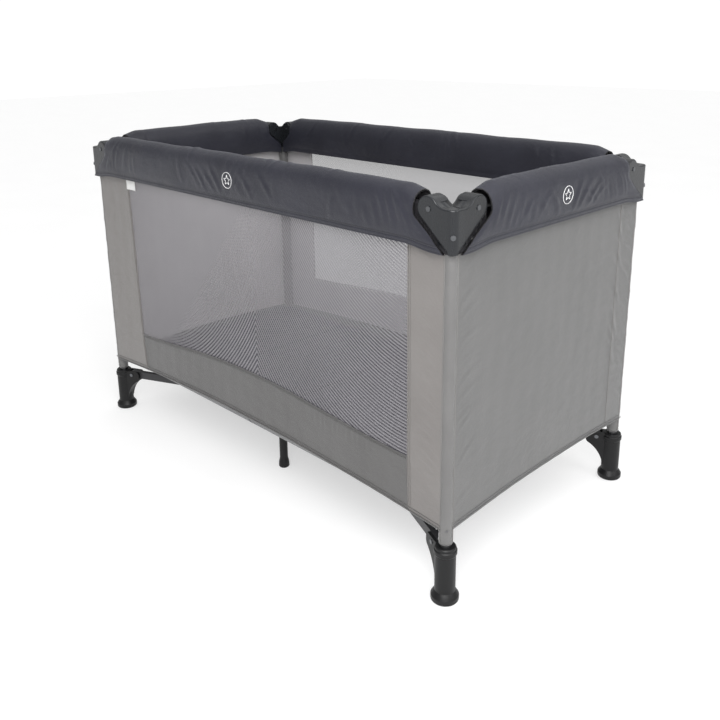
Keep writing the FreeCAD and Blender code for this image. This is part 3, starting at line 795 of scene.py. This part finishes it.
def cover_marks(side):
    """Wrinkles of a rail cover, as seen from outside: (along, up the cut, angle, length, width, height)."""
    local = np.random.RandomState({"front": 11, "rear": 12, "left": 13, "right": 14}[side])
    end = cover_half(side)
    marks = []
    for hand in (-1, 1):
        for k in range(8):
            marks.append((hand * (end - 16 - 19 * k + local.uniform(-5, 5)), 46 + local.uniform(-12, 14),
                          hand * -(62 + 3.0 * k + local.uniform(-6, 6)), 32 - 1.6 * k, 4.6 + 0.3 * k,
                          (1.9 - 0.18 * k) * local.uniform(0.7, 1.15)))
        for k in range(6):
            marks.append((hand * (34 + 21 * k + local.uniform(-6, 6)), 42 + local.uniform(-10, 16),
                          hand * (56 - 3 * k + local.uniform(-9, 9)) * (-1 if k % 3 == 2 else 1), 30, 5.5,
                          local.uniform(0.8, 1.6)))
    count = 9 if side in ("front", "rear") else 3
    for _ in range(count):
        marks.append((local.uniform(-end + 150, end - 150), local.uniform(25, 62), local.uniform(40, 140),
                      26, 7, local.uniform(0.5, 1.1)))
    for _ in range(count + 4):
        marks.append((local.uniform(-end + 20, end - 20), local.uniform(112, 165), local.uniform(50, 130),
                      28, 6, local.uniform(0.5, 1.2)))
    return marks


class Cover:
    """Outer skin and lining of one rail cover at full length, from which its pieces are cut."""

    def __init__(self, side):
        self.side = side
        self.section, self.run = curve_through(COVER_SECTION, 64)
        end = cover_half(side)
        fixed = end - END_RUN
        inner_columns = np.linspace(-fixed, fixed, 2 * int(fixed / 4.0) + 1)
        step = np.linspace(0, 1, 30)[1:]
        self.columns = np.r_[-(fixed + END_RUN * step)[::-1], inner_columns, fixed + END_RUN * step]
        d, z = self.section[:, 0], self.section[:, 1]
        crest = int(np.argmax(z))
        reach = cover_end(side, z)
        reach = np.where(np.arange(len(z)) <= crest, reach, np.maximum(reach, 27.5))
        limit = HALF[side] - reach
        c = self.columns[:, None]
        over = np.clip((np.abs(c) - fixed) / END_RUN, 0, 1)
        self.s = np.sign(c) * np.where(np.abs(c) > fixed, fixed + over * (limit[None] - fixed), np.abs(c))
        self.t = np.broadcast_to(self.run[None], self.s.shape)
        swell = 1.2 * np.sin(np.pi * np.clip((self.run - 10.0) / (self.run[-1] - 20.0), 0, 1))
        from_end = HALF[side] - np.abs(self.s)
        lower = smooth(-self.t, -40.0, 0.0) + smooth(self.t, self.run[-1] - 40.0, self.run[-1])
        dip = 7.0 * smooth(-from_end, -85.0, -14.0) * lower
        normal = np.gradient(self.section, axis=0)
        normal /= np.linalg.norm(normal, axis=1)[:, None]
        out_d, out_z = normal[:, 1], -normal[:, 0]
        full = self.run[-1]
        flat_edge = smooth(self.t, 11.0, 24.0) * smooth(-self.t, -(full - 11.0), -(full - 24.0))
        slow = 0.7 * np.sin(self.s / 57.0 + self.t / 40.0) + 0.5 * np.sin(self.s / 23.0 - self.t / 31.0)
        height = (folds(self.s, self.t, cover_marks(side)) + slow + swell[None]) * flat_edge
        tuck = 1.6 * smooth(np.abs(c), end - 10.0, end)
        height = height - tuck * flat_edge
        seam = -0.9 * np.exp(-((self.t - SEAM_AT) / 1.4) ** 2) - 0.9 * np.exp(
            -((self.t - full + SEAM_AT) / 1.4) ** 2)
        height = height + seam
        rise = 1.5 * np.cos(self.s / HALF[side] * math.pi / 2) * smooth(z, 740, 782)[None]
        taper = 1 - END_DROP * smooth(np.abs(c), end - DROP_RUN, end)
        shoulder = np.where(z > RAIL_Z, RAIL_Z + (z - RAIL_Z) * taper, z)
        self.d = d[None] + out_d[None] * height
        self.z = shoulder + out_z[None] * height - dip + rise * (taper - (1 - END_DROP)) / END_DROP
        inner_d = d[None] - out_d[None] * SHELL
        inner_z = shoulder - out_z[None] * SHELL * smooth(z, 700, 720)[None] - dip
        self.inner_d = np.broadcast_to(inner_d, self.s.shape)
        self.inner_z = inner_z
        self.normals = self._normals()

    def world(self, s, d, z):
        return place(self.side, s, OUT[self.side] + d, z)

    def _normals(self):
        skins = []
        for d, z, hand in ((self.d, self.z, 1), (self.inner_d, self.inner_z, -1)):
            p = self.world(self.s, d, z)
            n = np.cross(np.gradient(p, axis=0), np.gradient(p, axis=1)) * hand
            skins.append(n / np.maximum(np.linalg.norm(n, axis=2), 1e-9)[..., None])
        return skins

    def cut(self, name, keep, body):
        """Piece of the cover made of the cells in keep, with both its skins and closed edges."""
        n, m = self.s.shape
        outer = self.world(self.s, self.d, self.z)
        inner = self.world(self.s, self.inner_d, self.inner_z)
        used = np.zeros((n, m), bool)
        for i, j in ((0, 0), (1, 0), (0, 1), (1, 1)):
            used[i:n - 1 + i, j:m - 1 + j] |= keep
        number = np.cumsum(used.ravel()).reshape(n, m) - 1
        count = int(used.sum())
        piece = Piece()
        flat = np.stack([self.s, self.t], -1)[used]
        piece.points = [outer[used], inner[used]]
        piece.flat = [flat, flat + (0.0, 300.0)]
        piece.count = 2 * count
        padded_keep = np.pad(keep, 1)
        for i, j in zip(*np.where(keep)):
            corners = [(i, j), (i + 1, j), (i + 1, j + 1), (i, j + 1)]
            top = [int(number[c]) for c in corners]
            low = [k + count for k in top]
            piece.faces += [top, low[::-1]]
            piece.slots += [0, 1]
            beyond = ((i + 1, j), (i + 2, j + 1), (i + 1, j + 2), (i, j + 1))
            for k in range(4):
                if not padded_keep[beyond[k]]:
                    k2 = (k + 1) % 4
                    piece.faces.append([top[k2], top[k], low[k], low[k2]])
                    piece.slots.append(0 if k in (0, 2) else 1)
        obj = piece.make(name, ["cover", "lining"])
        normals = np.concatenate([skin[used] for skin in self.normals])
        obj.data.normals_split_custom_set_from_vertices([tuple(v) for v in normals])
        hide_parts("cover_" + self.side)
        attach(obj, body)
        return obj

    def at(self, s, z):
        """Outward distance of the outer face at a place, from the rail's line."""
        i = int(np.argmin(np.abs(self.columns - s)))
        face = slice(0, 30)
        order = np.argsort(self.z[i, face])
        return float(np.interp(z, self.z[i, face][order], self.d[i, face][order]))


def star_lines(centre_z, radius):
    """Ring and a plain five-pointed star inside it, in the cover's plane."""
    angle = np.linspace(0, 2 * math.pi, 48, endpoint=False)
    ring = np.stack([radius * np.cos(angle), centre_z + radius * np.sin(angle)], -1)
    tips = []
    for k in range(10):
        r = radius * (0.66 if k % 2 == 0 else 0.29)
        a = math.pi / 2 + k * math.pi / 5
        tips.append((r * math.cos(a), centre_z + r * math.sin(a)))
    tips.append(tips[0])
    star = []
    for a, b in zip(tips[:-1], tips[1:]):
        for t in np.linspace(0, 1, 5, endpoint=False):
            star.append((a[0] + (b[0] - a[0]) * t, a[1] + (b[1] - a[1]) * t))
    return ring, np.array(star)


def make_cover(side):
    cover = Cover(side)
    kind = "long_rail" if side in ("front", "rear") else "end_rail"
    centre = (cover.s[1:, 1:] + cover.s[:-1, :-1]) / 2
    from_leg = HALF[side] - np.abs(centre)
    middle = np.abs(centre) < MIDDLE
    flap = from_leg < LOBE_REACH[side] - 8.0
    for hand, leg in ((-1, LEFT_LEG[side]), (1, RIGHT_LEG[side])):
        name = "left" if hand < 0 else "right"
        own = (np.sign(centre) == hand) & ~middle
        half = cover.cut("cover_%s_%s" % (side, name), own & ~flap, kind + "_" + leg)
        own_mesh(half)
        cover.cut("cover_%s_%s_flap" % (side, name), own & flap, "leg_" + leg)
    axis = tuple(place(side, 1.0, 0.0, 0.0).tolist())
    centre_piece = cover.cut("cover_%s_middle" % side, middle, "lock_" + side)
    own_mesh(centre_piece)
    if side in EMBLEM_AT:
        emblem = Piece()
        for line in star_lines(EMBLEM_Z, EMBLEM_R):
            line = line + np.array([EMBLEM_AT[side], 0.0])
            p = [place(side, s, OUT[side] + cover.at(s, z) + 0.25, z) for s, z in line]
            emblem.tube(np.array(p), 0.6, 6, 0, closed=True)
        obj = emblem.make("emblem_" + side, ["print"])
        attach(obj, "lock_" + side)
        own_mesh(obj)


def make_gusset(corner):
    """Dark gathered lining that closes the opening between a bracket and the cover ends."""
    centre, out_x, out_y = post(corner)
    u = np.linspace(-12.0, 78.0, 64)[:, None]
    z = np.linspace(0, 1, 24)[None]
    low = WALL_TOP_Z - 1.0 + bracket_slope(u)
    high = 738.0 + 20.0 * smooth(u, 34.0, 50.0)
    zz = low + (high - low) * z
    wave = 0.9 * np.sin(u / 2.1 + zz / 30.0) * smooth(u, 10, 30)
    piece = Piece()
    for first in (True, False):
        depth = 12.6 + wave
        if first:
            p = np.stack(np.broadcast_arrays(centre[0] - out_x * u, centre[1] + out_y * depth, zz), -1)
        else:
            p = np.stack(np.broadcast_arrays(centre[0] + out_x * depth, centre[1] - out_y * u, zz), -1)
        piece.grid(p)
    obj = piece.make("corner_lining_" + corner, ["lining"])
    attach(obj, "leg_" + corner)


VALLEY_Z, VALLEY_R, VALLEY_TO_LOBE = 752.0, 30.0, 39.3
SADDLE_TOP, SADDLE_OUT, SADDLE_IN = 751.6, 11.5, -9.9


def make_saddle(corner):
    """Moulded web that closes a bracket's valley, between its outer and inner faces."""
    centre, out_x, out_y = post(corner)
    outline = [(-17, -17), (16, -19), (19, -10), (19, 6), (15, 13), (13, 15), (6, 19), (-10, 19), (-19, 16)]
    piece = Piece()
    ring = np.array([(centre[0] - out_x * a, centre[1] - out_y * b) for a, b in outline], float)
    rows = []
    for inset, below in ((1.0, 3.6), (0.0, 3.0), (0.0, 0.6), (1.0, 0.0)):
        inner = ring.mean(0) + (ring - ring.mean(0)) * (1 - inset / 18.0)
        rows.append(np.c_[inner, np.full(len(inner), SADDLE_TOP - below)])
    piece.grid(np.array(rows), wrap=True, ends=True, flip=out_x * out_y > 0)
    for side, first in (("front", True), ("left", False)):
        start = LOBE_REACH[side] - LOBE_R - VALLEY_TO_LOBE
        along = np.linspace(0.0, 21.5, 10)
        top = VALLEY_Z + VALLEY_R - np.sqrt(VALLEY_R ** 2 - along ** 2) - 0.5
        web = []
        for across, drop in ((SADDLE_OUT, 0.0), (SADDLE_OUT, 2.0), (SADDLE_IN, 2.0), (SADDLE_IN, 0.0)):
            level = np.full_like(along, across)
            x, y = (-(start + along), level) if first else (level, -(start + along))
            web.append(np.stack([centre[0] + out_x * x, centre[1] + out_y * y, top - drop], -1))
        piece.grid(np.stack(web, 1), wrap=True, ends=True, flip=(out_x * out_y > 0) == first)
    obj = piece.make("bracket_saddle_" + corner, ["bracket"])
    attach(obj, "leg_" + corner)


# -------- base cloth and mattress
MATTRESS_INSET = 10.0
PAD_CORNER, PAD_EDGE = 36.0, 9.0
FLOOR_INSET = 2.5


def make_floor():
    for corner in CORNERS:
        sx = 1 if "right" in corner else -1
        sy = 1 if "rear" in corner else -1
        x = np.linspace(0, WALL_OUT_X - FLOOR_INSET, 60)[:, None] * sx
        y = np.linspace(0, WALL_OUT_Y - FLOOR_INSET, 44)[None] * sy
        x, y = np.broadcast_arrays(x, y)
        long_rise = (hem_height("front", x) - FLOOR_Z) * smooth(np.abs(y), 292.0, WALL_OUT_Y - 3.0)
        end_rise = (hem_height("right", y) - FLOOR_Z) * smooth(np.abs(x), 586.0, WALL_OUT_X - 3.0)
        z = FLOOR_Z + 0.6 + np.maximum(long_rise, end_rise) + 0.4 * np.sin(x / 27.0) * np.sin(y / 19.0)
        piece = Piece()
        piece.grid(np.stack([x, y, z], -1), flat=np.stack([x, y], -1), flip=sx * sy < 0)
        obj = piece.make("floor_" + corner, ["floor"])
        thicken(obj, 0.8)
        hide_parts("floor_cloth")
        low, high = cad_box("strut_" + corner)
        along = np.array([(high - low)[0] * sx, (high - low)[1] * sy, 0.0])
        along /= np.linalg.norm(along)
        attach(obj, "strut_" + corner)
        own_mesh(obj)


def pad_shape(low, high, round_left, round_right):
    """Closed pillow-edged slab: rings from the bottom middle out to the rim and back over the top."""
    cx, cy = (low[0] + high[0]) / 2, (low[1] + high[1]) / 2
    hx, hy = (high[0] - low[0]) / 2, (high[1] - low[1]) / 2
    r_left, r_right = (PAD_CORNER if rounded else PAD_EDGE for rounded in (round_left, round_right))
    outline = []
    for k, (sign_x, sign_y) in enumerate(((1, 1), (-1, 1), (-1, -1), (1, -1))):
        r = r_right if sign_x > 0 else r_left
        centre = np.array([sign_x * (hx - r), sign_y * (hy - r)])
        for a in np.linspace(k * math.pi / 2, (k + 1) * math.pi / 2, 10):
            outline.append(centre + r * np.array([math.cos(a), math.sin(a)]))
    outline = np.array(outline + outline[:1])
    run = np.r_[0, np.linalg.norm(np.diff(outline, axis=0), axis=1).cumsum()]
    at = np.linspace(0, run[-1], 220, endpoint=False)
    rim = np.stack([np.interp(at, run, outline[:, k]) for k in (0, 1)], -1)
    thickness = high[2] - low[2]
    rings = []
    share = np.r_[np.linspace(0.02, 0.9, 26), 0.93, 0.955, 0.972, 0.985, 0.994, 0.9985, 1.0]
    mid = (low[2] + high[2]) / 2
    for layer in (0, 1):
        order = share if layer == 0 else share[::-1][1:]
        for f in order:
            inset = 1 - f
            edge = np.minimum(inset * min(hx, hy) / PAD_EDGE, 1.0)
            lift = thickness / 2 * (1 - (1 - edge) ** 2.2) ** 0.45 if edge > 0 else 0.0
            z = mid + (lift if layer else -lift)
            rings.append(np.c_[cx + rim[:, 0] * f, cy + rim[:, 1] * f, np.full(len(rim), z)])
    return np.array(rings)


def make_mattress():
    local = np.random.RandomState(31)
    for k in range(1, 5):
        low, high = cad_box("mattress_panel_%d" % k)
        low[1] += MATTRESS_INSET
        high[1] -= MATTRESS_INSET
        high[2] -= 1.5
        rings = pad_shape(low, high, k == 1, k == 4)
        x, y = rings[..., 0], rings[..., 1]
        marks = [(local.uniform(low[0] + 20, high[0] - 20), local.uniform(-260, 260), local.uniform(0, 180),
                  45, 9, local.uniform(0.3, 0.8)) for _ in range(14)]
        top = rings[..., 2] > high[2] - 3.0
        inner = smooth(high[2] - rings[..., 2], 3.0, 0.0)
        creases = folds(x, y, marks) + 0.6 * np.sin(x / 61.0) * np.sin(y / 47.0)
        rings[..., 2] += np.where(top, creases * inner, 0)
        piece = Piece()
        middle = len(rings) // 2
        aside = np.where(np.arange(len(rings)) > middle, 0, 900)[:, None]
        piece.grid(rings, flat=np.stack([x, y + aside], -1), wrap=True, ends=True, flip=True)
        rim = rings[middle]
        piece.tube(rim, 1.5, 8, 1, closed=True)
        obj = piece.make("mattress_pad_%d" % k, ["mattress", "mattress_welt"])
        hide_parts("mattress_panel_%d" % k)
        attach(obj, "mattress_%d" % k)


def make_tag():
    """Small blank label sewn at the top left of the front window."""
    piece = Piece()
    s = np.linspace(-454.0, -412.0, 24)[:, None]
    z = np.linspace(655.0, 680.0, 14)[None]
    s, z = np.broadcast_arrays(s, z)
    d = wall_surface("front", s, z) + 1.0 + 0.5 * np.sin(s / 11.0) * np.sin(z / 6.0)
    piece.grid(place("front", s, d, z), flat=np.stack([s + 460, z - 654.0], -1))
    obj = piece.make("sewn_tag", ["tag"])
    thicken(obj, 0.5, 1.0)
    finish_wall_piece(obj, "front")


# -------- the whole scene
make_camera()
make_materials()
make_stage()
dress_frame()
for side in SIDES:
    make_cover(side)
for side in SIDES:
    make_wall(side)
for corner in CORNERS:
    make_sleeve(corner)
    make_gusset(corner)
    make_saddle(corner)
make_floor()
make_mattress()
make_tag()
